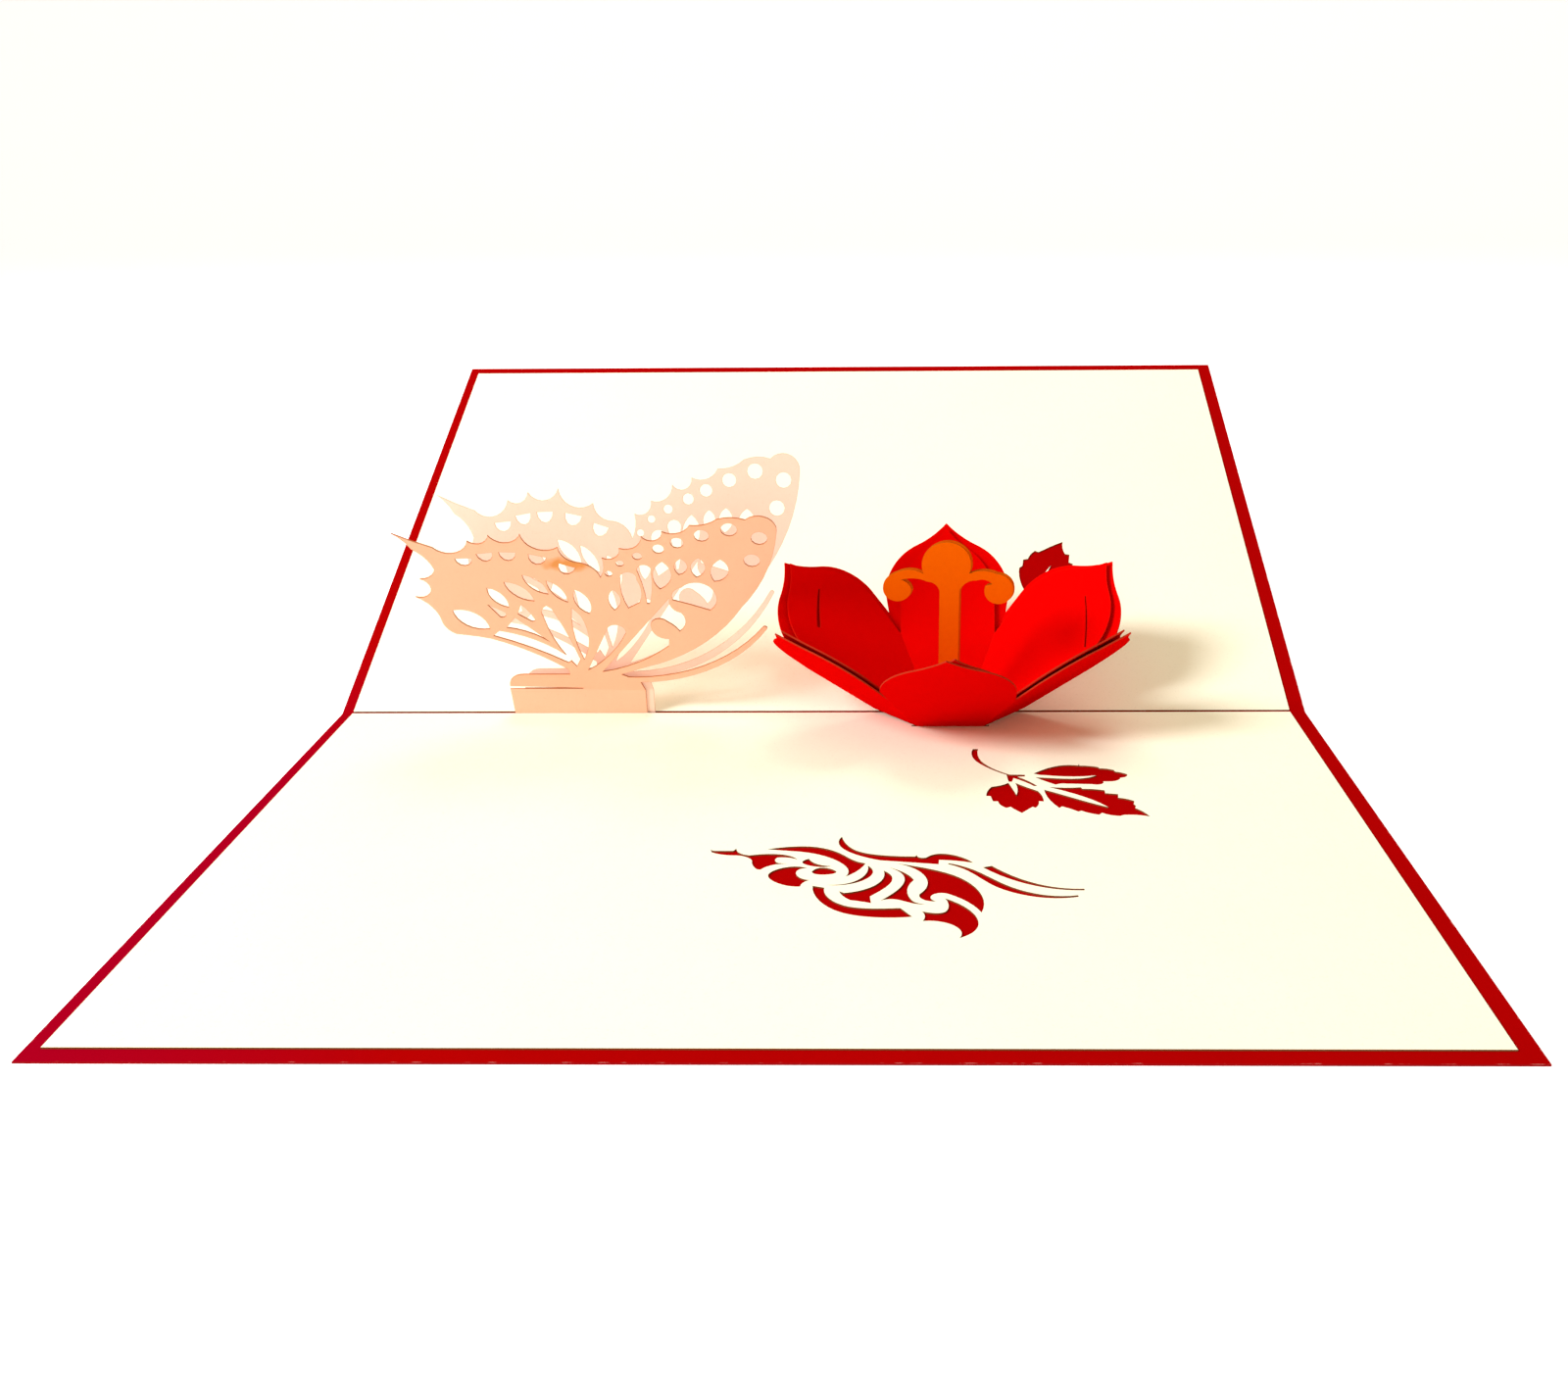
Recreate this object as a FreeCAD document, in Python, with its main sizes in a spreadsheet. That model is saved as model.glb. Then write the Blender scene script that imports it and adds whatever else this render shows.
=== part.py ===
"""Pop up card: a folded red cover, two cream liner sheets, a butterfly and a six petal flower.

The card lies open with its front leaf flat and its back leaf raised. X runs along the fold, Z is up,
and the origin is under the middle of the card's outline. Millimetres throughout.
"""

import FreeCAD, Part
import math
import os

from FreeCAD import Placement, Rotation, Vector

doc = FreeCAD.newDocument("pop_up_card")

SIZES = [
    ("card_width", 200.0, "cover, along the fold"),
    ("leaf_depth", 150.0, "cover, from the fold to a leaf's free edge"),
    ("rise_angle", 21.2, "degrees that the back leaf stands above the table"),
    ("bend_reach", 0.4, "how far the soft bend of the spine runs up each leaf"),
    ("cover_thick", 0.3, "red card of the cover"),
    ("liner_thick", 0.25, "cream sheets"),
    ("craft_thick", 0.3, "card of the butterfly, the flower and the stamens"),
    ("border_left", 2.3, "cover seen beside the liners, left"),
    ("border_right", 3.2, "cover seen beside the liners, right"),
    ("border_front", 3.5, "cover seen at the front edge"),
    ("border_back", 3.1, "cover seen at the back edge"),
    ("spine_gap", 1.0, "slot between the two liner sheets, along the fold"),
    ("glue_gap", 0.02, "glue line under each foot"),
    ("chord_error", 0.035, "how far a straight cut of the small pierced work may leave its curve"),
    ("wing_place", -49.3, "butterfly's root, along the fold"),
    ("front_wing_turn", -1.3, "degrees that the front wing is turned in its sheet"),
    ("front_wing_shift", -0.4, "front wing, to the right of its root"),
    ("back_wing_turn", 1.7, "degrees that the back wing is turned"),
    ("back_wing_shift", 5.0, "back wing's root, to the right of the front one's"),
    ("back_feeler_shift", 2.0, "back antenna's root, to the right of the front one's"),
    ("back_plate_inset", 3.0, "back root plate's left end, inside the front one's"),
    ("plate_left", 14.8, "root plate, to the left of the wing's root"),
    ("plate_right", 14.8, "and to its right"),
    ("front_plate_inset", 1.6, "front root plate's right end, inside the back one's"),
    ("crease_height", 6.3, "wing's crease above the fold, at its root"),
    ("crease_slope", -0.03, "fall of that crease along the fold"),
    ("crease_below", 1.8, "from the wing's origin down to that crease"),
    ("wing_lean", 17.2, "degrees between a wing and the middle plane"),
    ("wing_slit", 0.3, "cut under the left part of the root plate"),
    ("flower_place", 26.5, "flower's axis, along the fold"),
    ("cup_depth", 9.75, "from the fold to the cup's base edge, along a leaf"),
    ("cup_half", 6.7, "half of that base edge"),
    ("cup_corner", 15.5, "cup's side corner, from the flower's axis"),
    ("cup_corner_height", 1.4, "that corner, above the fold"),
    ("petal_tip_out", 33.4, "front petal's tip, from the middle plane"),
    ("petal_tip_height", 28.8, "that tip, above the fold"),
    ("side_tip_side", 34.3, "side petal's tip, along the fold"),
    ("side_tip_out", 17.1, "that tip, from the middle plane"),
    ("side_tip_height", 26.7, "that tip, above the fold"),
    ("petal_half", 13.2, "half of an outer petal's width"),
    ("petal_seam", 16.2, "length of the crease that joins two outer petals"),
    ("inner_scale", 0.84, "inner cup's base against the outer one's"),
    ("petal_sway", -1.6, "front outer petal's tip, along the fold from its foot's middle"),
    ("inner_half", 10.0, "half of an inner middle petal's width"),
    ("inner_side_half", 11.3, "half of an inner side petal's width"),
    ("inner_side_shift", 0.3, "inner side petal's middle, towards the middle plane"),
    ("inner_seam", 12.4, "length of the crease that joins two inner petals"),
    ("inner_length", 35.4, "inner front petal, from base edge to tip"),
    ("inner_side_spare", 0.6, "inner side petal's length, over the outer one's"),
    ("shoulder_drop", 15.5, "from a petal's tip down to its shoulders"),
    ("slit_spare", 1.1, "liner's slit beyond each end of the cup's foot"),
    ("slit_ease", 0.1, "liner's slit beside the foot"),
    ("stamen_lean", 0.4, "degrees between a stamen and the middle plane"),
    ("back_stamen_shift", 0.35, "back stamen, to the right of the front one"),
    ("back_sprig_turn", 20.0, "degrees that the stem of the back leaf's sprig is turned"),
    ("back_sprig_side", 3.4, "its stem's move along the fold"),
    ("back_sprig_up", 6.4, "its stem's move towards the fold"),
]

sheet = doc.addObject("Spreadsheet::Sheet", "Sizes")
for row, (alias, value, note) in enumerate(SIZES, 1):
    sheet.set(f"A{row}", alias)
    sheet.set(f"B{row}", str(value))
    sheet.setAlias(f"B{row}", alias)
    sheet.set(f"C{row}", note)
doc.recompute()


def size(alias):
    return float(sheet.get(alias))


# The middle plane halves the angle between the leaves. "Out" is square to it, towards the reader.
HALF_RISE = math.radians(size("rise_angle")) / 2
ALONG = Vector(1, 0, 0)
OUT = Vector(0, -math.cos(HALF_RISE), -math.sin(HALF_RISE))
UP = Vector(0, -math.sin(HALF_RISE), math.cos(HALF_RISE))
FOLD_PLACE = Vector(0, size("leaf_depth") * (1 - math.cos(2 * HALF_RISE)) / 2, 0)
BEND_RADIUS = size("bend_reach") / math.tan(HALF_RISE)
STACK = size("cover_thick") + size("liner_thick")
INSIDE_RADIUS = BEND_RADIUS - size("cover_thick")
# A foot's outer corner is one sheet away from the middle plane, where the bend's inside is a bit higher.
SPINE_FLOOR = (BEND_RADIUS / math.cos(HALF_RISE) + size("glue_gap")
               - math.sqrt(INSIDE_RADIUS ** 2 - size("craft_thick") ** 2))


def at(along, out, up):
    """The point that lies so far along the fold, out from the middle plane and up it."""
    return ALONG * along + OUT * out + UP * up


def mirrored(vector):
    """The same vector on the other side of the middle plane."""
    return vector - OUT * (2 * vector.dot(OUT))


def frame(origin, side, rise):
    """A placement whose X is side and whose Y lies towards rise."""
    normal = side.cross(rise)
    return Placement(origin, Rotation(side, normal.cross(side), normal, "XZY"))


def shifted(placement):
    return Placement(FOLD_PLACE, Rotation()).multiply(placement)


def stretch(start, points):
    """The edge from start on: a line for one point, an arc for two and a smooth curve for more."""
    corners = [Vector(*p, 0) for p in [start] + list(points)]
    if len(corners) == 2:
        return Part.LineSegment(*corners)
    if len(corners) == 3:
        return Part.Arc(*corners)
    curve = Part.BSplineCurve()
    curve.interpolate(corners)
    return curve


def draw(sketch, outline, chorded=False):
    """Adds a closed outline: its first point, then the points of each stretch to the next corner.

    A chorded outline has its curves as short straight cuts, which suits the small pierced work.
    """
    start = outline[0]
    for points in outline[1:]:
        edge = stretch(start, points)
        if chorded and len(points) > 1:
            knots = edge.toShape().discretize(Deflection=size("chord_error"))
            for one, two in zip(knots, knots[1:]):
                sketch.addGeometry(Part.LineSegment(one, two), False)
        else:
            sketch.addGeometry(edge, False)
        start = points[-1]
    if math.dist(start, outline[0]) > 1e-6:
        sketch.addGeometry(stretch(start, [outline[0]]), False)


def new_body(name):
    body = doc.addObject("PartDesign::Body", name)
    body.Label = name
    return body


def plane_of(body, role):
    return next(f for f in body.Origin.OriginFeatures if f.Role == role)


def new_sketch(body, name, role="XY_Plane", offset=Placement()):
    sketch = body.newObject("Sketcher::SketchObject", name)
    sketch.AttachmentSupport = (plane_of(body, role), [""])
    sketch.MapMode = "FlatFace"
    sketch.AttachmentOffset = offset
    return sketch


def pad(body, sketch, name, length, reverse=False):
    feature = body.newObject("PartDesign::Pad", name)
    feature.Profile = sketch
    feature.setExpression("Length", length)
    feature.Reversed = reverse
    doc.recompute()
    return feature


def pocket(body, sketch, name, length, reverse=False):
    """Cuts on the side that a pad with the same flag fills, and stops if nothing was cut."""
    before = body.Shape.Volume
    feature = body.newObject("PartDesign::Pocket", name)
    feature.Profile = sketch
    feature.setExpression("Length", length)
    feature.Reversed = not reverse
    doc.recompute()
    assert body.Shape.Volume < before - 1e-4, name
    return feature


def box(left, low, right, high):
    return [(left, low), [(right, low)], [(right, high)], [(left, high)]]


# Spine

def bend_point(radius, angle):
    """A point of the bend, by its angle round from where the front leaf's flat part ends."""
    reach = size("bend_reach")
    return (-reach + radius * math.sin(angle), BEND_RADIUS - radius * math.cos(angle))


def make_cover():
    """One folded sheet: flat front leaf, soft bend, raised back leaf."""
    body = new_body("cover")
    profile = new_sketch(body, "cover_profile", "YZ_Plane")
    profile.AttachmentOffset = Placement(Vector(0, 0, -size("card_width") / 2), Rotation())
    profile.setExpression("AttachmentOffset.Base.z", "-Sizes.card_width / 2")
    rise, thick, depth = 2 * HALF_RISE, size("cover_thick"), size("leaf_depth")
    back_low = (depth * math.cos(rise), depth * math.sin(rise))
    back_high = (back_low[0] - thick * math.sin(rise), back_low[1] + thick * math.cos(rise))
    draw(profile, [
        (-depth, 0),
        [bend_point(BEND_RADIUS, 0)],
        [bend_point(BEND_RADIUS, HALF_RISE), bend_point(BEND_RADIUS, rise)],
        [back_low],
        [back_high],
        [bend_point(INSIDE_RADIUS, rise)],
        [bend_point(INSIDE_RADIUS, HALF_RISE), bend_point(INSIDE_RADIUS, 0)],
        [(-depth, thick)],
    ])
    pad(body, profile, "cover_sheet", "Sizes.card_width")
    body.Placement = shifted(Placement())
    return body


def make_liner(name, free_border, low_side, high_side, outlines):
    """One flat sheet glued to a leaf, which ends just short of the fold, with its cut outs.

    It is drawn as the front leaf's sheet, which runs from the fold towards -Y. The borders are named
    values: at the free edge, at the low X side and at the high X side.
    """
    body = new_body(name)
    profile = new_sketch(body, name + "_profile", "YZ_Plane")
    profile.setExpression("AttachmentOffset.Base.z", f"Sizes.{low_side} - Sizes.card_width / 2")
    draw(profile, box(size(free_border) - size("leaf_depth"), size("cover_thick"),
                      -size("spine_gap") / 2, STACK))
    pad(body, profile, name + "_sheet", f"Sizes.card_width - Sizes.{low_side} - Sizes.{high_side}")
    cuts = new_sketch(body, name + "_cuts")
    for outline in outlines:
        draw(cuts, outline)
    pocket(body, cuts, name + "_cut_outs", "3 * (Sizes.cover_thick + Sizes.liner_thick)")
    return body


# Cut outs of the liners, in millimetres from the fold's middle on the front leaf

SPRIG_PIN = (43.3, -46.6)

SPRIG = [
    [(30.5, -24.2), [(30.2, -28.5), (30.9, -31.6)], [(33.0, -35.4), (36.2, -39.2)], [(36.4, -43.0)],
     [(37.0, -43.0)], [(37.4, -41.0)], [(39.6, -43.4), (40.9, -45.4)], [(41.5, -45.3)],
     [(40.2, -42.9), (38.2, -40.3)], [(39.6, -40.1)], [(39.6, -39.2)], [(36.8, -39.1)],
     [(33.6, -35.3), (31.8, -31.4)], [(31.3, -28.0), (31.5, -24.2)]],
    [(36.3, -43.7), [(34.8, -45.0), (33.1, -45.8)], [(32.2, -48.3), (31.9, -50.6)], [(32.7, -50.7)],
     [(33.0, -53.4)], [(33.9, -53.4)], [(34.3, -55.4), (35.2, -56.8)], [(36.0, -56.2)],
     [(36.8, -57.8), (37.8, -59.3)], [(39.0, -57.5), (39.9, -56.2)], [(40.4, -56.7)],
     [(41.0, -55.2), (41.2, -53.3)], [(42.1, -53.5)], [(41.9, -50.0), (41.4, -48.0)],
     [(39.5, -46.0), (37.6, -43.7)], [(37.8, -47.0), (37.4, -50.2)], [(36.9, -47.0), (36.3, -43.7)]],
    [(41.3, -38.5), [(43.5, -36.1), (46.2, -34.2), (50.1, -34.0)], [(50.2, -33.1)], [(50.3, -34.1)],
     [(52.2, -34.3), (53.7, -34.9)], [(53.9, -35.6)], [(55.3, -35.9), (56.5, -36.6)], [(56.6, -37.5)],
     [(57.8, -38.1), (58.7, -39.0)], [(58.2, -40.4), (57.2, -40.9)], [(56.4, -42.4), (55.0, -42.9)],
     [(53.8, -42.9)], [(53.5, -44.2), (51.8, -44.4)], [(45.9, -44.0)], [(44.9, -44.6)],
     [(43.2, -42.8), (41.5, -40.6)], [(47.0, -41.4), (51.0, -40.9), (52.9, -39.5)],
     [(49.0, -40.2), (45.0, -39.8), (42.3, -39.2)]],
    [(43.6, -45.9), [(46.5, -46.3), (49.4, -46.1)], [(49.6, -46.9)], [(51.8, -47.1), (53.6, -47.7)],
     [(53.5, -49.2)], [(55.8, -49.7)], [(55.6, -51.6)], [(57.2, -52.3), (58.3, -53.3)], [(58.0, -54.9)],
     [(58.3, -55.8)], [(58.0, -56.8)], [(59.2, -58.7), (60.1, -61.1)], [(57.8, -60.3), (55.6, -60.3)],
     [(54.9, -60.8)], [(53.2, -60.3), (51.9, -59.2)], [(51.3, -60.2)], [(49.6, -59.3), (48.4, -58.2)],
     [(47.8, -58.6)], [(46.4, -57.1), (45.1, -56.0)], [(44.6, -56.8)], [(43.2, -52.6), (42.6, -47.3)],
     [(46.6, -50.8), (50.2, -54.0), (53.3, -56.4)], [(50.6, -52.3), (47.4, -49.0), (43.6, -45.9)]],
]

# The back leaf's own leaf, in the same way on the back leaf: its vein stays as a thin white line
BACK_LEAF = [
    (-51.1, -53.7), [(-47.2, -46.1)], [(-46.6, -42.8)], [(-45.4, -42.5), (-44.4, -44.1)],
    [(-43.7, -48.2), (-43.8, -52.7)], [(-44.6, -53.6)], [(-44.9, -56.1)], [(-46.0, -56.4)],
    [(-46.7, -58.2), (-47.8, -59.7)], [(-48.6, -59.2)], [(-50.0, -60.2)], [(-52.3, -62.0), (-54.5, -63.4)],
    [(-54.3, -60.8), (-54.7, -58.3)], [(-55.7, -58.1)], [(-55.3, -54.9)], [(-56.2, -54.2)],
    [(-55.2, -49.8)], [(-56.0, -48.8)], [(-54.0, -45.1), (-50.0, -42.6)], [(-47.6, -43.2)], [(-49.6, -49.4)],
]

SIDE_BUTTERFLY = [
    # Tail, with its two hooks
    [(-15.9, -75.4), [(-15.6, -76.5), (-14.8, -77.1)], [(-11.7, -77.1)], [(-11.2, -76.1)],
     [(-10.5, -78.1), (-8.8, -79.1)], [(-4.9, -78.5), (-2.3, -79.2), (-0.7, -81.0)],
     [(-2.0, -80.2), (-4.1, -80.1)], [(-4.4, -81.3), (-3.9, -82.4)], [(-2.3, -82.8)],
     [(-5.0, -83.5), (-6.5, -85.3)], [(-7.1, -85.2)], [(-8.0, -83.2), (-8.2, -81.4)],
     [(-9.2, -79.9), (-11.0, -79.1)], [(-13.6, -78.7), (-15.2, -77.8)]],
    # Long arc that starts over the tail
    [(-6.0, -76.4), [(-2.5, -75.3), (2.2, -75.4), (6.2, -78.1), (9.2, -81.8), (10.6, -82.6)],
     [(9.6, -85.3), (7.4, -88.3)], [(7.8, -85.2), (6.2, -81.9), (2.6, -78.7), (-2.0, -77.2)]],
    # Body with the upper tail and the head
    [(6.35, -70.6), [(7.2, -74.0), (9.1, -77.1), (13.0, -79.0), (18.8, -79.6)], [(19.1, -78.9)],
     [(19.6, -80.1), (20.6, -80.1)], [(23.4, -78.4), (26.2, -79.7), (28.3, -82.4)],
     [(25.6, -81.5), (22.7, -81.1)], [(22.6, -83.0)], [(17.6, -82.1), (13.0, -81.3)],
     [(9.2, -79.0), (6.6, -75.9), (6.35, -70.6)]],
    # Fore wing, with the hook at its root
    [(15.0, -82.4), [(20.0, -84.4), (25.4, -88.1), (29.0, -95.2), (28.8, -102.5)],
     [(26.3, -97.7), (23.8, -95.2)], [(21.4, -95.6), (21.9, -98.2)], [(19.8, -97.4), (19.4, -95.2)],
     [(20.7, -90.6), (19.4, -86.0), (15.0, -82.4)]],
    # Ribs of the wings, from the fore wing back
    [(14.4, -84.3), [(17.2, -86.9), (18.5, -89.6)], [(17.4, -93.5), (18.0, -97.6)],
     [(18.9, -98.8), (20.2, -99.3)], [(17.6, -98.6), (16.0, -97.6), (13.2, -97.9)],
     [(15.6, -94.2), (17.0, -89.6), (14.4, -84.3)]],
    [(13.6, -85.7), [(15.0, -89.6), (13.4, -93.6), (11.5, -96.3)], [(11.7, -98.9)],
     [(10.0, -98.2), (8.4, -97.7)], [(7.2, -96.0), (6.6, -94.2)], [(7.4, -94.9)],
     [(12.4, -91.6), (13.6, -85.7)]],
    [(11.0, -83.6), [(11.7, -87.4), (9.4, -90.6), (4.5, -91.6)], [(9.4, -89.7), (10.9, -86.4), (11.0, -83.6)]],
    # Eye spots between the tail and the ribs
    [(1.2, -80.6), [(2.2, -82.5), (5.0, -83.8)], [(1.9, -83.8), (0.2, -82.3), (1.2, -80.6)]],
    [(1.9, -86.2), [(5.1, -85.1), (5.9, -86.4), (4.1, -87.4), (1.9, -86.2)]],
    [(1.1, -84.6), [(-3.2, -84.7), (-5.1, -87.4), (-3.6, -90.7), (0.3, -92.3)], [(0.9, -90.4), (3.6, -89.0)],
     [(-0.3, -88.1), (-0.4, -85.5), (1.1, -84.6)]],
    # Rim of the hind wing and the lower tail
    [(2.3, -92.0), [(4.2, -92.8)], [(4.7, -96.2), (8.0, -100.1), (12.0, -101.0), (16.3, -100.8)],
     [(18.1, -104.1)], [(12.4, -104.3), (7.2, -102.5), (3.2, -97.0), (2.3, -92.0)]],
    [(18.5, -100.5), [(20.6, -102.5), (22.9, -102.5), (23.8, -100.1), (23.2, -97.0)],
     [(27.2, -102.0), (28.1, -107.3), (25.1, -111.9)], [(25.1, -108.4), (22.8, -106.1), (19.7, -105.7)],
     [(20.0, -103.2), (18.5, -100.5)]],
    # Antennae
    [(31.3, -83.7), [(35.0, -88.5), (39.6, -92.0), (45.5, -93.2)], [(45.5, -93.8)],
     [(39.0, -92.6), (33.6, -88.9), (29.8, -84.3)]],
    [(24.2, -82.5), [(29.4, -86.7), (33.4, -91.9), (38.0, -95.3), (44.3, -95.8)], [(44.3, -96.4)],
     [(36.4, -96.0), (31.4, -92.2), (28.0, -86.8), (24.2, -83.0)]],
]


def turned_sprig(point):
    """A point of the sprig as it lies on the back leaf: mirrored, and turned about its pin."""
    turn = math.radians(size("back_sprig_turn"))
    x, y = -(point[0] - SPRIG_PIN[0]), point[1] - SPRIG_PIN[1]
    return (x * math.cos(turn) - y * math.sin(turn) - SPRIG_PIN[0] - size("back_sprig_side"),
            x * math.sin(turn) + y * math.cos(turn) + SPRIG_PIN[1] + size("back_sprig_up"))


def moved_outline(outline, place):
    return [place(outline[0])] + [[place(p) for p in points] for points in outline[1:]]


def foot_slit(along):
    """The slit that the flower's foot goes through, on the leaf's own X."""
    slope = math.atan2(petal_rise().dot(UP), petal_rise().dot(OUT)) - HALF_RISE
    wide = size("craft_thick") / math.sin(slope)
    near, far = size("cup_depth") - wide - size("slit_ease"), size("cup_depth") + size("slit_ease")
    half = size("cup_half") + size("slit_spare")
    return box(along - half, -far, along + half, -near)


def make_liners():
    front = make_liner("liner_front", "border_front", "border_left", "border_right",
                       SPRIG + SIDE_BUTTERFLY + [foot_slit(size("flower_place"))])
    front.Placement = shifted(Placement())
    stem, lower_leaf = SPRIG[0], SPRIG[2]
    back_sprig = [moved_outline(outline, turned_sprig) for outline in (stem, lower_leaf)] + [BACK_LEAF]
    back = make_liner("liner_back", "border_back", "border_right", "border_left",
                      back_sprig + [foot_slit(-size("flower_place"))])
    half_turn = Rotation(Vector(0, 0, 1), 180)
    back.Placement = shifted(Placement(Vector(), Rotation(ALONG, size("rise_angle")).multiply(half_turn)))
    return [front, back]


# Butterfly: each wing is one sheet with a root plate, an antenna and a foot panel below the crease

WING = [
    (-1.5, 1.5), [(-1.7, 3.7)], [(-8.2, 8.2), (-16.4, 12.0)], [(-19.8, 12.7), (-23.2, 13.1)],
    [(-24.8, 14.4), (-25.7, 16.8)], [(-27.0, 20.3), (-29.9, 22.9)], [(-26.6, 24.6), (-28.3, 27.6)],
    [(-26.2, 28.3), (-25.1, 30.2)], [(-26.2, 32.7), (-28.7, 35.2)], [(-30.0, 37.2), (-32.0, 39.1)],
    [(-28.4, 37.3), (-24.6, 35.7)], [(-20.0, 34.6), (-17.7, 37.5)], [(-15.7, 36.8), (-13.5, 39.0)],
    [(-10.3, 37.2), (-7.3, 39.5)], [(-4.9, 35.9), (-0.4, 36.3)], [(1.1, 33.3), (3.4, 32.5)],
    [(5.8, 31.3), (7.2, 28.8)], [(8.0, 31.2), (7.9, 33.8)], [(10.0, 33.7), (11.4, 36.3)],
    [(13.8, 36.3), (15.9, 39.4)], [(17.9, 38.3), (19.9, 40.7)], [(22.9, 40.3), (25.3, 42.3)],
    [(27.9, 42.5), (30.6, 43.9)], [(33.3, 44.4), (36.0, 43.9)], [(39.9, 44.6), (41.9, 41.2)],
    [(39.9, 31.8), (34.4, 21.6)], [(26.0, 11.4), (14.0, 4.7)], [(8.6, 2.4)],
]

WING_CELLS = [
    # Two small cells of the hind wing
    [(-16.0, 21.3), [(-12.9, 19.4)], [(-12.7, 18.2), (-13.8, 17.9)]],
    [(-9.3, 21.4), [(-7.9, 19.5), (-6.9, 17.4)], [(-7.2, 16.9), (-7.8, 17.0)], [(-10.2, 18.8)]],
    # Long cells that run to the root, from the left
    [(-10.9, 17.9), [(-8.0, 14.9), (-4.4, 11.2)], [(-8.6, 13.9), (-12.9, 15.1)]],
    [(-14.5, 14.2), [(-7.6, 11.9), (-1.7, 7.7)], [(-0.9, 6.3), (-1.5, 5.6)], [(-8.0, 9.4), (-15.9, 12.8)]],
    [(-4.3, 21.2), [(-5.2, 20.2), (-5.2, 18.2)], [(-3.6, 11.8), (0.1, 4.6)], [(1.0, 6.6)],
     [(-0.7, 13.0), (-3.3, 20.4)]],
    [(0.7, 20.8), [(0.4, 14.0), (1.8, 6.6)], [(3.3, 12.5), (2.3, 18.6)]],
    [(2.3, 3.6), [(7.1, 14.9)], [(9.2, 16.4), (10.9, 14.2)], [(8.4, 9.7), (4.0, 4.8)]],
    # Large cell of the fore wing, with its lobes
    [(5.2, 3.2), [(12.5, 5.9), (19.3, 10.8)], [(19.5, 12.8)], [(17.1, 13.6), (16.1, 15.8)],
     [(17.2, 18.1), (19.4, 17.5)], [(20.9, 16.2), (21.8, 14.9)], [(23.1, 17.5), (22.4, 19.9)],
     [(20.8, 20.9), (20.3, 23.8)]],
    [(20.9, 23.3), [(21.2, 25.5), (22.8, 26.6)], [(26.6, 27.9), (29.3, 25.4)], [(29.5, 22.8), (28.2, 20.7)],
     [(25.3, 21.8), (20.9, 23.3)]],
    # Finger cells and drops under the spots
    [(9.2, 20.3), [(8.2, 23.0), (9.3, 25.8)], [(10.6, 23.4), (9.2, 20.3)]],
    [(12.0, 20.9), [(11.0, 24.5), (11.0, 28.4)], [(12.6, 30.4), (14.2, 28.4)], [(14.9, 25.4), (14.3, 22.4)]],
    [(15.8, 22.2), [(15.4, 26.2), (14.6, 30.2)], [(15.8, 32.3), (17.1, 30.2)], [(17.0, 26.0), (16.3, 22.2)]],
    [(18.6, 26.1), [(17.5, 30.2), (19.5, 33.2)], [(21.0, 30.6), (18.9, 26.2)]],
    [(22.6, 29.9), [(21.8, 32.2), (23.1, 34.0)], [(24.3, 31.9), (22.6, 29.9)]],
    [(26.0, 29.3), [(25.0, 32.2), (26.6, 34.3)], [(27.8, 32.2), (26.0, 29.3)]],
    [(29.4, 28.3), [(28.9, 31.6), (30.8, 34.0)], [(32.3, 31.6), (29.4, 28.3)]],
]

# Half moons along the hind wing's edge: middle, width, height and turn in degrees
WING_MOONS = [
    (-19.0, 32.2, 3.4, 1.9, 4), (-14.8, 33.5, 3.2, 2.1, 8), (-10.3, 33.8, 3.3, 2.2, 0),
    (-4.5, 33.0, 3.5, 2.3, -14), (1.0, 30.6, 3.3, 2.3, -20),
]

# Long cells with pointed ends: middle, half length, half width and turn in degrees
WING_LEAVES = [
    (-13.6, 23.1, 3.2, 1.25, -54), (-9.2, 24.8, 3.7, 1.4, -42), (-5.8, 26.7, 3.4, 1.25, -47),
    (-1.7, 25.0, 3.4, 1.1, -57), (3.0, 22.4, 3.4, 1.45, -70), (-19.7, 17.1, 4.2, 2.0, -35),
]

# Round spots of the fore wing: middle and radius
WING_SPOTS = [
    (38.5, 39.5, 1.6), (36.9, 33.9, 1.6), (32.8, 41.5, 1.6), (27.5, 39.9, 1.45), (22.7, 38.0, 1.3),
    (19.0, 36.4, 1.15), (14.8, 34.5, 0.95), (11.3, 32.6, 0.8), (8.9, 29.9, 0.75),
]

SPOT_SIDES = 12
MOON_SIDES = 6


def turner(x, y, turn):
    """A function that turns a point by some degrees and then moves it to x, y."""
    angle = math.radians(turn)

    def place(point):
        side, rise = point
        return (x + side * math.cos(angle) - rise * math.sin(angle),
                y + side * math.sin(angle) + rise * math.cos(angle))

    return place


def half_moon(x, y, width, height, turn):
    """Straight on top, and round below in a few short sides."""
    place = turner(x, y + height / 2, turn)
    angles = [math.pi * step / MOON_SIDES for step in range(MOON_SIDES + 1)]
    points = [place((-width / 2 * math.cos(a), -height * math.sin(a))) for a in angles]
    return [points[0]] + [[p] for p in points[1:]]


def leaf_cell(x, y, half_length, half_width, turn):
    place = turner(x, y, turn)
    end, start = place((half_length, 0)), place((-half_length, 0))
    return [start, [place((0, half_width)), end], [place((0, -half_width)), start]]


def spot(x, y, radius):
    angles = [2 * math.pi * step / SPOT_SIDES for step in range(SPOT_SIDES)]
    points = [(x + radius * math.cos(a), y + radius * math.sin(a)) for a in angles]
    return [points[0]] + [[p] for p in points[1:]]


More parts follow.
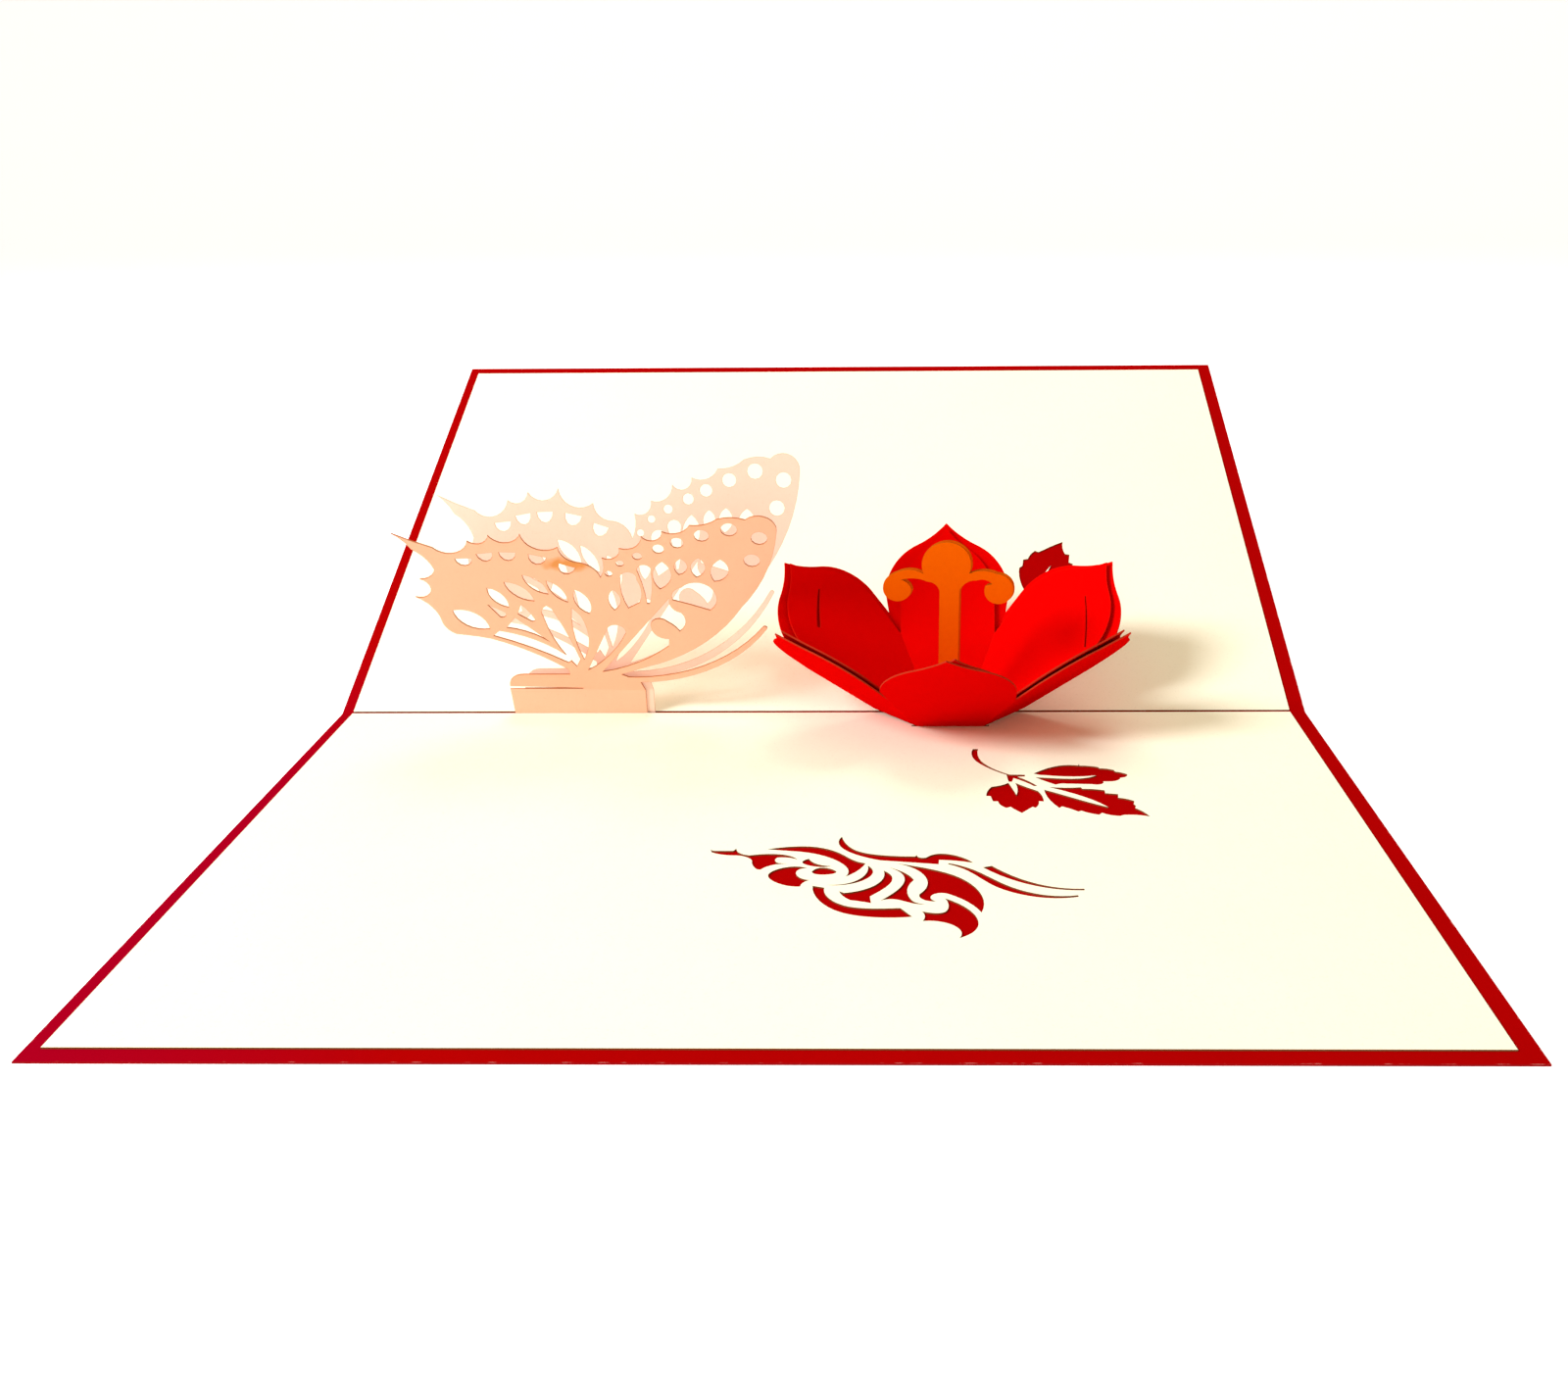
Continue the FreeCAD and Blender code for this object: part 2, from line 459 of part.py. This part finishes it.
def root_plate(left, right, slope):
    """The plate under the wing: its left part is cut free, and the rest ends on the crease."""
    below, slit = -size("crease_below"), size("wing_slit")
    return [
        (0.3, below + 0.3 * slope), [(right, below + right * slope)], [(right - 0.9, 0.4)], [(8.6, 2.4)],
        [(left + 3.4, 2.3)], [(left + 0.8, 1.2), (left, below + left * slope + slit)],
        [(0.3, below + 0.3 * slope + slit)],
    ]


ANTENNA_ROOT = (9.0, 1.6)

# From its root, upper edge first
ANTENNA = [
    (0.0, 0.0), [(17.6, 4.4), (28.9, 15.2)], [(29.5, 15.3), (29.6, 14.6)], [(18.4, 3.2), (0.0, -1.3)],
]


def make_wing(name, behind, turn, shift, feeler_turn, feeler_shift, insets):
    """A wing of the butterfly. The one behind is mirrored in the middle plane, and sits to the right."""
    side_of = mirrored if behind else (lambda v: v)
    along = size("wing_place")
    lean = math.radians(size("wing_lean"))
    crease = (ALONG + UP * size("crease_slope")).normalize()
    rising = OUT * math.sin(lean) + UP * math.cos(lean)
    normal = crease.cross(rising).normalize()
    level = normal.cross(UP).normalize()
    level = level if level.dot(ALONG) > 0 else level * -1
    upward = normal.cross(level).normalize()
    upward = upward if upward.dot(UP) > 0 else upward * -1
    slope = crease.dot(upward) / crease.dot(level)
    origin = at(along, 0, size("crease_height")) + upward * size("crease_below")
    left, right = insets[0] - size("plate_left"), size("plate_right") - insets[1]

    body = new_body(name)
    wing_frame = frame(side_of(origin), side_of(level), side_of(upward))
    panel_frame = frame(at(along, 0, 0), ALONG, UP)

    def sheet_part(label, outline, offset=Placement()):
        part = new_sketch(body, f"{name}_{label}_outline", offset=offset)
        draw(part, outline, chorded=True)
        pad(body, part, f"{name}_{label}", "Sizes.craft_thick", behind)

    foot, top = SPINE_FLOOR, size("crease_height")
    sheet_part("panel", [
        (left + 0.5, foot), [(right, foot)], [(right, top + right * size("crease_slope"))],
        [(0.3, top + 0.3 * size("crease_slope"))], [(left, top)],
    ], wing_frame.inverse().multiply(panel_frame))
    sheet_part("plate", root_plate(left, right, slope))
    blade_offset = Placement(Vector(shift, 0, 0), Rotation(Vector(0, 0, 1), turn))
    sheet_part("blade", WING, blade_offset)
    feeler_place = Vector(ANTENNA_ROOT[0] + feeler_shift, ANTENNA_ROOT[1], 0)
    sheet_part("antenna", ANTENNA, Placement(feeler_place, Rotation(Vector(0, 0, 1), feeler_turn)))

    cells = new_sketch(body, name + "_cell_outlines", offset=blade_offset)
    repeated = [(half_moon, WING_MOONS), (leaf_cell, WING_LEAVES), (spot, WING_SPOTS)]
    for outline in WING_CELLS + [shape(*values) for shape, rows in repeated for values in rows]:
        draw(cells, outline, chorded=True)
    pocket(body, cells, name + "_cells", "3 * Sizes.craft_thick", behind)
    body.Placement = shifted(wing_frame)
    return body


def make_butterfly():
    return [
        make_wing("butterfly_front_wing", False, size("front_wing_turn"), size("front_wing_shift"),
                  -2.3, 0.0, (0.0, size("front_plate_inset"))),
        make_wing("butterfly_back_wing", True, size("back_wing_turn"), size("back_wing_shift"), 2.5,
                  size("back_feeler_shift"), (size("back_plate_inset"), 0.0)),
    ]


# Flower

def petal_rise():
    """Direction from the front petal's base edge to its tip."""
    base = cup_points(1.0)["base"]
    tip = at(0, size("petal_tip_out"), size("petal_tip_height"))
    return (tip - Vector(0, base.y, base.z)).normalize()


def cup_points(scale):
    """The base corners of a cup, on the left of the flower's axis and in front of the middle plane."""
    level = STACK / math.cos(HALF_RISE)
    out = size("cup_depth") * math.cos(HALF_RISE)
    base_up = out * math.tan(HALF_RISE) + level
    corner_up = size("cup_corner_height")
    base = at(-size("cup_half") * scale, out * scale, level + (base_up - level) * scale)
    corner = at(-size("cup_corner") * scale, 0, max(level + (corner_up - level) * scale, 0))
    return {"base": base, "corner": corner}


def ogee(tip, half, drop, sway=0.0):
    """The curves from the right shoulder to the tip and on to the left one. A sway bends the tip aside."""
    knee, turn, flare = (0.88 * half, -0.64 * drop), (0.46 * half, -0.31 * drop), (0.18 * half, -0.15 * drop)

    def place(point, sign):
        rise = tip[1] + point[1]
        return (tip[0] + sign * point[0] + sway * rise / tip[1], rise)

    shoulder = (half, -drop)
    return [
        [place(shoulder, 1)],
        [place(knee, 1), place(turn, 1)], [place(flare, 1), place((0, 0), 1)],
        [place(flare, -1), place(turn, -1)], [place(knee, -1), place(shoulder, -1)],
    ]


def in_frame(placement, point):
    """A point in the plane of a placement, as x and y."""
    local = placement.inverse().multVec(point)
    return (local.x, local.y)


# Slit of an inner side petal, from its wide end: the left petals' is short and the right ones' long
LEFT_SLIT = [
    (-5.3, 22.9), [(-2.2, 26.0), (1.4, 28.9)], [(1.6, 28.7)], [(-1.7, 25.5), (-4.7, 22.3)],
]
RIGHT_SLIT = [
    (9.6, 20.0), [(5.7, 24.4), (1.3, 28.5)], [(1.2, 28.3)], [(5.5, 24.2), (9.3, 19.8)],
]


def make_cup(name, behind, scale, half, side_half, side_shift, side_spare, seam, length, sway, with_foot):
    """Three petals in one folded sheet: the middle one stands on a leaf, the others meet at the fold."""
    body = new_body(name)
    points = cup_points(scale)
    base, corner = points["base"], points["corner"]
    across = Vector(-base.x, base.y, base.z)
    foot_middle = (base + across) * 0.5
    rise = petal_rise()
    side_tip = at(-size("side_tip_side"), size("side_tip_out"), size("side_tip_height"))
    side_foot = (base + corner) * 0.5 + (corner - base).normalize() * side_shift
    outer = cup_points(1.0)
    outer_foot = (outer["base"] + outer["corner"]) * 0.5
    side_rise = (side_tip - outer_foot).normalize()
    front_normal = ALONG.cross(rise)
    side_normal = (corner - base).cross(side_rise).normalize()
    seam_line = front_normal.cross(side_normal).normalize()
    seam_line = seam_line if seam_line.dot(UP) > 0 else seam_line * -1
    fold_line = side_normal.cross(OUT).normalize()
    fold_line = fold_line if fold_line.dot(UP) > 0 else fold_line * -1
    notch, side_notch = base + seam_line * seam, corner + fold_line * seam
    drop = size("shoulder_drop")

    flower = at(size("flower_place"), 0, 0)
    flip = mirrored if behind else (lambda v: v)
    body_frame = Placement(flower, Rotation())

    def petal(label, origin, side, upright, corners, tip_height, wide, bent=0.0, slits=()):
        """Pads one petal inwards. Corners run from the right of its base up to the right notch."""
        placement = frame(flip(origin), flip(side), flip(upright))
        inward = placement.Rotation.multVec(Vector(0, 0, 1)).dot(flip(OUT)) < 0
        flat = [in_frame(placement, flip(c)) for c in corners]
        outline_sketch = new_sketch(body, name + label, offset=placement)
        right = [c for c in flat if c[0] > 0]
        left = [c for c in flat if c[0] <= 0]
        outline = [left[-1]] + [[p] for p in right] + ogee((0.0, tip_height), wide, drop, bent)
        outline += [[p] for p in left[:-1]]
        draw(outline_sketch, outline)
        pad(body, outline_sketch, name + label + "_sheet", "Sizes.craft_thick", not inward)
        if slits:
            slit_sketch = new_sketch(body, name + label + "_slit_outline", offset=placement)
            for outline in slits:
                draw(slit_sketch, outline)
            pocket(body, slit_sketch, name + label + "_slit", "3 * Sizes.craft_thick", not inward)

    front_corners = [Vector(-base.x, base.y, base.z), Vector(-notch.x, notch.y, notch.z), notch, base]
    if with_foot:
        through = (size("liner_thick") - size("glue_gap")) / math.sin(
            math.atan2(rise.dot(UP), rise.dot(OUT)) - HALF_RISE)
        front_corners = [across - rise * through] + front_corners + [base - rise * through]
    petal("_middle", foot_middle, ALONG, rise, front_corners, length, half, sway)

    for sign, label in ((1, "_left"), (-1, "_right")):
        def across_axis(v):
            return Vector(v.x * sign, v.y, v.z)

        level_side = side_normal.cross(side_rise).normalize()
        level_side = level_side if level_side.dot(ALONG) > 0 else level_side * -1
        reach = (side_tip - outer_foot).Length + side_spare
        corners = [base, notch, side_notch, corner]
        if sign < 0:
            corners = corners[::-1]
        slits = [] if with_foot else [LEFT_SLIT if sign > 0 else RIGHT_SLIT]
        petal(label, across_axis(side_foot), across_axis(level_side) * sign, across_axis(side_rise),
              [across_axis(c) for c in corners], reach, side_half, slits=slits)

    trim = new_sketch(body, name + "_seam_trim", offset=frame(Vector(), ALONG, UP))
    wide = 2 * size("side_tip_side")
    draw(trim, box(-wide, -1, wide, 2 * size("petal_tip_height")))
    pocket(body, trim, name + "_seam_edge", "4 * Sizes.craft_thick", not behind)
    body.Placement = shifted(body_frame)
    return body


def outer_length():
    base = cup_points(1.0)["base"]
    tip = at(0, size("petal_tip_out"), size("petal_tip_height"))
    return (tip - Vector(0, base.y, base.z)).Length


def make_flower():
    half = size("petal_half")
    outer = dict(scale=1.0, half=half, side_half=half, side_shift=0.0, side_spare=0.0,
                 seam=size("petal_seam"), length=outer_length(), with_foot=True)
    inner = dict(scale=size("inner_scale"), half=size("inner_half"), side_half=size("inner_side_half"),
                 side_shift=size("inner_side_shift"), side_spare=size("inner_side_spare"),
                 seam=size("inner_seam"), length=size("inner_length"), with_foot=False)
    return [
        make_cup("flower_outer_front", False, sway=size("petal_sway"), **outer),
        make_cup("flower_outer_back", True, sway=0.0, **outer),
        make_cup("flower_inner_front", False, sway=0.0, **inner),
        make_cup("flower_inner_back", True, sway=0.0, **inner),
    ]


STAMEN = [
    (1.8, 27.8), [(2.9, 29.4), (5.2, 30.1)], [(6.9, 30.2), (8.3, 29.3)], [(7.0, 28.9)],
    [(8.9, 25.0), (12.5, 27.7)], [(11.7, 30.3), (9.2, 31.5)], [(6.6, 32.2), (3.7, 31.6)],
    [(-0.9, 38.4), (-5.4, 31.6)], [(-8.4, 32.5), (-11.0, 31.8)], [(-13.0, 30.3), (-13.5, 28.1)],
    [(-10.7, 25.6), (-7.8, 28.1)], [(-8.4, 29.4), (-9.9, 30.3)], [(-7.2, 30.6), (-4.7, 29.9)],
    [(-2.8, 29.0), (-2.2, 27.7)],
]


def make_stamen(name, behind):
    """A gold sheet with a round head and two curled arms, its foot in the slot along the fold."""
    body = new_body(name)
    lean = math.radians(size("stamen_lean")) * (-1 if behind else 1)
    rise = OUT * math.sin(lean) + UP * math.cos(lean)
    along = size("flower_place") + (size("back_stamen_shift") if behind else 0)
    placement = frame(at(along, 0, SPINE_FLOOR), ALONG, rise)
    outline = new_sketch(body, name + "_outline")
    draw(outline, [(-2.3, 0.0), [(1.7, 0.0)], [STAMEN[0]]] + STAMEN[1:])
    pad(body, outline, name + "_sheet", "Sizes.craft_thick", behind)
    body.Placement = shifted(placement)
    return body


pieces = [make_cover()] + make_liners()
pieces += make_butterfly()
pieces += make_flower()
pieces += [make_stamen("stamen_front", False), make_stamen("stamen_back", True)]
doc.recompute()

for item in doc.Objects:
    assert not {"Invalid", "Error"} & set(item.State), (item.Name, item.State)

os.makedirs("parts", exist_ok=True)
for piece in pieces:
    shape = piece.Shape
    assert not shape.isNull() and shape.isValid(), piece.Label
    assert len(shape.Solids) == 1, (piece.Label, len(shape.Solids))
    shape.exportStep(f"parts/{piece.Label}.step")
    corner = shape.BoundBox
    print(piece.Label, round(shape.Volume, 2), [round(v, 2) for v in (
        corner.XMin, corner.YMin, corner.ZMin, corner.XMax, corner.YMax, corner.ZMax)])
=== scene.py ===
import math

import bpy
from mathutils import Matrix, Vector

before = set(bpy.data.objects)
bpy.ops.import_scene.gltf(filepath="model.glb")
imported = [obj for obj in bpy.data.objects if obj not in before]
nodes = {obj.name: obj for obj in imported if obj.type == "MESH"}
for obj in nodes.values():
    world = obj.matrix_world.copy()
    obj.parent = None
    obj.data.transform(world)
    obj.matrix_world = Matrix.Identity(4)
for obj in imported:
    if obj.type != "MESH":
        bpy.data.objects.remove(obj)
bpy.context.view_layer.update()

# The view, fitted to the card's corners in the picture: metres from the fold's middle, and degrees
FOLD = Vector((0.0, 0.00508, 0.0004))
VIEW_PLACE = Vector((0.01616, -0.36421, 0.11557))
VIEW_YAW, VIEW_PITCH, VIEW_ROLL = -1.19, 16.89, 0.47
LENS, SENSOR, SIDE_SHIFT = 42.28, 36.0, -0.05

# Scales of the noise in the papers
CLOUDS, FELT, RUBS, FIBRES, SPECKS = 38, 260, 420, 900, 2600

PAPER_ROUGHNESS = 0.85
SAME_FACE = 0.97  # cosine above which two faces count as one direction

# Name, place, aim, diameter, power and colour of each lamp
LAMPS = [
    ("key", (-0.79, -0.41, 0.64), (0, 0.02, 0), 0.42, 12.2, (0.98, 1.0, 1.0)),
    ("top", (0.06, 0.64, 0.80), (0, 0.02, 0), 0.6, 4.0, (1.0, 0.97, 0.86)),
    ("front", (0.05, -1.15, 0.24), (0, 0, 0.02), 0.6, 2.1, (1.0, 0.92, 0.80)),
]
WORLD_COLOUR, WORLD_STRENGTH = (1.0, 0.80, 0.52, 1), 0.46
FLOOR_GLOW, FLOOR_GLOW_STRENGTH = (0.92, 0.97, 1.08, 1), 0.6


# Materials

def face_normals(node, count):
    """The directions of a node's broad faces: one for a flat sheet, more for a folded one."""
    found = []
    for polygon in sorted(nodes[node].data.polygons, key=lambda p: -p.area):
        if all(abs(polygon.normal.dot(n)) < SAME_FACE for n in found):
            found.append(polygon.normal.copy())
        if len(found) == count:
            break
    return found


class Shader:
    """A node tree with short calls for the nodes that the papers use."""

    def __init__(self, name):
        self.material = bpy.data.materials.new(name)
        self.material.use_nodes = True
        self.tree = self.material.node_tree
        self.out = self.tree.nodes["Principled BSDF"]

    def node(self, kind, **values):
        made = self.tree.nodes.new(kind)
        for key, value in values.items():
            if hasattr(made, key):
                setattr(made, key, value)
            else:
                self.set(made.inputs[key], value)
        return made

    def set(self, socket, value):
        if isinstance(value, bpy.types.NodeSocket):
            self.tree.links.new(value, socket)
        else:
            socket.default_value = value

    def math(self, operation, a, b=0.0, clamp=False):
        made = self.node("ShaderNodeMath", operation=operation, use_clamp=clamp)
        self.set(made.inputs[0], a)
        self.set(made.inputs[1], b)
        return made.outputs[0]

    def mix(self, factor, a, b):
        made = self.node("ShaderNodeMix", data_type="RGBA")
        self.set(made.inputs["Factor"], factor)
        self.set(made.inputs[6], (*a, 1) if isinstance(a, tuple) else a)
        self.set(made.inputs[7], (*b, 1) if isinstance(b, tuple) else b)
        return made.outputs[2]

    def noise(self, scale, detail=2.0, stretch=(1, 1, 1), roughness=0.5):
        place = self.node("ShaderNodeTexCoord").outputs["Object"]
        mapped = self.node("ShaderNodeMapping", Vector=place, Scale=stretch).outputs[0]
        texture = self.node("ShaderNodeTexNoise", Vector=mapped, Scale=scale, Detail=detail,
                            Roughness=roughness)
        return texture.outputs["Fac"]

    def range(self, value, low, high, to_low=0.0, to_high=1.0):
        made = self.node("ShaderNodeMapRange", clamp=True)
        for socket, v in zip(made.inputs[:5], (value, low, high, to_low, to_high)):
            self.set(socket, v)
        return made.outputs[0]

    def off_face(self, normals):
        """1 on a cut edge and 0 on a broad face, from the true normal."""
        true = self.node("ShaderNodeNewGeometry").outputs["True Normal"]
        best = 0.0
        for n in normals:
            dot = self.node("ShaderNodeVectorMath", operation="DOT_PRODUCT")
            self.set(dot.inputs[0], true)
            self.set(dot.inputs[1], n)
            best = self.math("MAXIMUM", self.math("ABSOLUTE", dot.outputs["Value"]), best)
        return self.range(best, 0.55, 0.8, 1.0, 0.0)

    def near_edge(self, radius):
        """Rises from 0 to 1 in the last stretch before a sharp edge."""
        bevel = self.node("ShaderNodeBevel", samples=4, Radius=radius)
        true = self.node("ShaderNodeNewGeometry").outputs["True Normal"]
        dot = self.node("ShaderNodeVectorMath", operation="DOT_PRODUCT")
        self.set(dot.inputs[0], bevel.outputs[0])
        self.set(dot.inputs[1], true)
        return self.range(dot.outputs["Value"], 0.80, 0.995, 1.0, 0.0)


def paper(name, colour, shade, cut_edge, normals, rim, rim_width=0.0002, wear=None, tint_and_painted_shade=None):
    """Fibrous card: clouded colour, fine fibres, a felt surface, and darker or worn edges."""
    s = Shader(name)
    cloud = s.noise(CLOUDS, 3)
    fibres = s.noise(FIBRES, 4, (1, 0.35, 1), 0.65)
    specks = s.range(s.noise(SPECKS, 1), 0.62, 0.78)
    mixed = s.mix(s.range(cloud, 0.3, 0.75, 0.0, 0.5), colour, shade)
    mixed = s.mix(s.range(fibres, 0.42, 0.7, 0.0, 0.3), mixed, shade)
    mixed = s.mix(s.math("MULTIPLY", specks, 0.1), mixed, cut_edge)
    # Extra colour laid over the paper: a crimson tint on the cover, and a painted shade patch on the
    # front wing
    if tint_and_painted_shade:
        mixed = tint_and_painted_shade(s, mixed)
    edge = s.near_edge(rim_width)
    mixed = s.mix(s.math("MULTIPLY", edge, rim), mixed, cut_edge)
    if wear:
        rubbed = s.math("MULTIPLY", edge, s.range(s.noise(RUBS, 3), 0.56, 0.66, 0.0, 0.7))
        mixed = s.mix(rubbed, mixed, wear)
    mixed = s.mix(s.off_face(normals), mixed, cut_edge)
    s.set(s.out.inputs["Base Color"], mixed)
    s.set(s.out.inputs["Roughness"],
          s.range(fibres, 0.3, 0.7, PAPER_ROUGHNESS - 0.08, PAPER_ROUGHNESS + 0.1))
    s.set(s.out.inputs["Specular IOR Level"], 0.0)
    felt = s.math("ADD", s.math("MULTIPLY", fibres, 0.7), s.math("MULTIPLY", s.noise(FELT, 3), 0.5))
    bump = s.node("ShaderNodeBump", Strength=0.35, Distance=0.00006, Height=felt)
    s.set(s.out.inputs["Normal"], bump.outputs[0])
    return s.material


def crimson_left(s, mixed):
    """The cover turns a little towards crimson at the left of its front leaf."""
    place = s.node("ShaderNodeSeparateXYZ", Vector=s.node("ShaderNodeTexCoord").outputs["Object"])
    left = s.range(place.outputs[0], -0.05, -0.1)
    front = s.range(place.outputs[1], 0.03, -0.04)
    return s.mix(s.math("MULTIPLY", left, front), mixed, (0.31, 0.0, 0.012))


def painted_shade_patch(centre, reach, colour, strength):
    """A painted shade: a soft brown patch round a point."""
    def tint_and_painted_shade(s, mixed):
        place = s.node("ShaderNodeTexCoord").outputs["Object"]
        moved = [-c / r for c, r in zip(centre, reach)]
        scaled = [1 / r for r in reach]
        mapped = s.node("ShaderNodeMapping", Vector=place, Location=moved, Scale=scaled).outputs[0]
        away = s.node("ShaderNodeVectorMath", operation="LENGTH", Vector=mapped).outputs["Value"]
        ragged = s.math("ADD", away, s.math("MULTIPLY", s.noise(500, 2), 0.7))
        return s.mix(s.range(ragged, 0.75, 1.3, strength, 0.0), mixed, colour)
    return tint_and_painted_shade


def dress(names, material_of):
    for name in names:
        data = nodes[name].data
        data.materials.clear()
        data.materials.append(material_of(name))


RED_COVER, RED_SHADE = (0.37, 0.0006, 0.0008), (0.33, 0.0004, 0.0006)
CREAM, CREAM_SHADE = (0.98, 0.97, 0.83), (0.97, 0.95, 0.78)
# One peach paper for both wings: darker on the front wing as painted shade, paler on the back wing as
# painted light
PEACH_PAINTED_SHADE, PEACH_PAINTED_SHADE_DARKER = (0.95, 0.53, 0.38), (0.91, 0.48, 0.34)
PEACH_PAINTED_LIGHT, PEACH_PAINTED_LIGHT_DARKER = (0.95, 0.70, 0.60), (0.92, 0.64, 0.53)
FLOWER, FLOWER_SHADE = (0.73, 0.0006, 0.0004), (0.66, 0.0004, 0.0003)
GOLD, GOLD_SHADE = (0.82, 0.138, 0.0006), (0.75, 0.11, 0.0005)

# Place, reach and colour of the painted shade patch low on the front wing
SHADE_PATCH_PLACE, SHADE_PATCH_REACH = (-0.0482, -0.0118, 0.0359), (0.0062, 0.007, 0.0021)
SHADE_PATCH_COLOUR = (0.70, 0.26, 0.05)

dress(["cover"], lambda n: paper(
    n, RED_COVER, RED_SHADE, (0.30, 0.006, 0.008), face_normals(n, 2), rim=0.5, rim_width=0.0004,
    wear=(0.80, 0.45, 0.42), tint_and_painted_shade=crimson_left))
dress(["liner_front", "liner_back"], lambda n: paper(
    n, CREAM, CREAM_SHADE, (0.22, 0.08, 0.03), face_normals(n, 1), rim=0.35))
# Front wing: peach darkened as painted shade; back wing: peach lightened as painted light
dress(["butterfly_front_wing"], lambda n: paper(
    n, PEACH_PAINTED_SHADE, PEACH_PAINTED_SHADE_DARKER, (0.50, 0.17, 0.07), face_normals(n, 1), rim=0.6, rim_width=0.0003,
    tint_and_painted_shade=painted_shade_patch(SHADE_PATCH_PLACE, SHADE_PATCH_REACH, SHADE_PATCH_COLOUR, 0.85)))
dress(["butterfly_back_wing"], lambda n: paper(
    n, PEACH_PAINTED_LIGHT, PEACH_PAINTED_LIGHT_DARKER, (0.58, 0.24, 0.12), face_normals(n, 1), rim=0.6, rim_width=0.0003))
dress([n for n in nodes if n.startswith("flower")], lambda n: paper(
    n, FLOWER, FLOWER_SHADE, (0.40, 0.03, 0.012), face_normals(n, 3), rim=0.45))
dress(["stamen_front", "stamen_back"], lambda n: paper(
    n, GOLD, GOLD_SHADE, (0.40, 0.09, 0.004), face_normals(n, 1), rim=0.4))


# Floor that curves up behind the card

def cyclorama():
    half, near, far, rise, radius, steps = 3.0, -1.6, 1.6, 1.6, 0.7, 12
    profile = [(near, 0.0)]
    for step in range(steps + 1):
        angle = math.pi / 2 * step / steps
        profile.append((far + radius * math.sin(angle), radius * (1 - math.cos(angle))))
    profile.append((far + radius, rise))
    vertices = [(x, y, z) for y, z in profile for x in (-half, half)]
    faces = [(2 * i, 2 * i + 1, 2 * i + 3, 2 * i + 2) for i in range(len(profile) - 1)]
    mesh = bpy.data.meshes.new("floor")
    mesh.from_pydata(vertices, [], faces)
    mesh.shade_smooth()
    floor = bpy.data.objects.new("floor", mesh)
    bpy.context.scene.collection.objects.link(floor)
    s = Shader("floor")
    clouds = s.range(s.noise(3, 2), 0.3, 0.7)
    s.set(s.out.inputs["Base Color"], s.mix(clouds, (0.93, 0.93, 0.93), (0.95, 0.95, 0.95)))
    s.set(s.out.inputs["Roughness"], 0.9)
    s.set(s.out.inputs["Specular IOR Level"], 0.1)
    # The floor looks white where it is seen, and adds no light to the card.
    path = s.node("ShaderNodeLightPath").outputs
    seen = s.math("MAXIMUM", path["Is Camera Ray"], path["Is Glossy Ray"])
    seen = s.math("MAXIMUM", seen, path["Is Transmission Ray"])
    s.set(s.out.inputs["Emission Color"], FLOOR_GLOW)
    s.set(s.out.inputs["Emission Strength"], s.math("MULTIPLY", seen, FLOOR_GLOW_STRENGTH))
    mesh.materials.append(s.material)


cyclorama()


# Light

def area_light(name, place, target, size, power, colour):
    data = bpy.data.lights.new(name, "AREA")
    data.shape = "DISK"
    data.size = size
    data.energy = power
    data.color = colour
    light = bpy.data.objects.new(name, data)
    light.location = place
    light.rotation_euler = (Vector(target) - Vector(place)).to_track_quat("-Z", "Y").to_euler()
    bpy.context.scene.collection.objects.link(light)


for lamp in LAMPS:
    area_light(*lamp)

world = bpy.data.worlds.new("studio")
world.use_nodes = True
tree = world.node_tree
glow = tree.nodes["Background"]
glow.inputs["Color"].default_value = WORLD_COLOUR
glow.inputs["Strength"].default_value = WORLD_STRENGTH
# Where the camera looks past the floor it sees white.
white = tree.nodes.new("ShaderNodeBackground")
white.inputs["Color"].default_value = (1, 1, 1, 1)
choice = tree.nodes.new("ShaderNodeMixShader")
tree.links.new(tree.nodes.new("ShaderNodeLightPath").outputs["Is Camera Ray"], choice.inputs[0])
tree.links.new(glow.outputs[0], choice.inputs[1])
tree.links.new(white.outputs[0], choice.inputs[2])
tree.links.new(choice.outputs[0], tree.nodes["World Output"].inputs["Surface"])
bpy.context.scene.world = world


# Camera

def axes_of_view(yaw, pitch, roll):
    """Right, up and back of a camera, from its angles in degrees."""
    yaw, pitch, roll = (math.radians(v) for v in (yaw, pitch, roll))
    forward = Vector((math.sin(yaw) * math.cos(pitch), math.cos(yaw) * math.cos(pitch), -math.sin(pitch)))
    right = forward.cross(Vector((0, 0, 1))).normalized()
    down = forward.cross(right)
    turned_right = right * math.cos(roll) + down * math.sin(roll)
    turned_down = down * math.cos(roll) - right * math.sin(roll)
    return turned_right, -turned_down, -forward


camera_data = bpy.data.cameras.new("camera")
camera_data.sensor_width = SENSOR
camera_data.lens = LENS
camera_data.shift_x = SIDE_SHIFT
camera_data.clip_start = 0.01
camera = bpy.data.objects.new("camera", camera_data)
rotation = Matrix(axes_of_view(VIEW_YAW, VIEW_PITCH, VIEW_ROLL)).transposed().to_4x4()
camera.matrix_world = Matrix.Translation(VIEW_PLACE + FOLD) @ rotation
bpy.context.scene.collection.objects.link(camera)
bpy.context.scene.camera = camera

bpy.context.scene.view_settings.view_transform = "Standard"
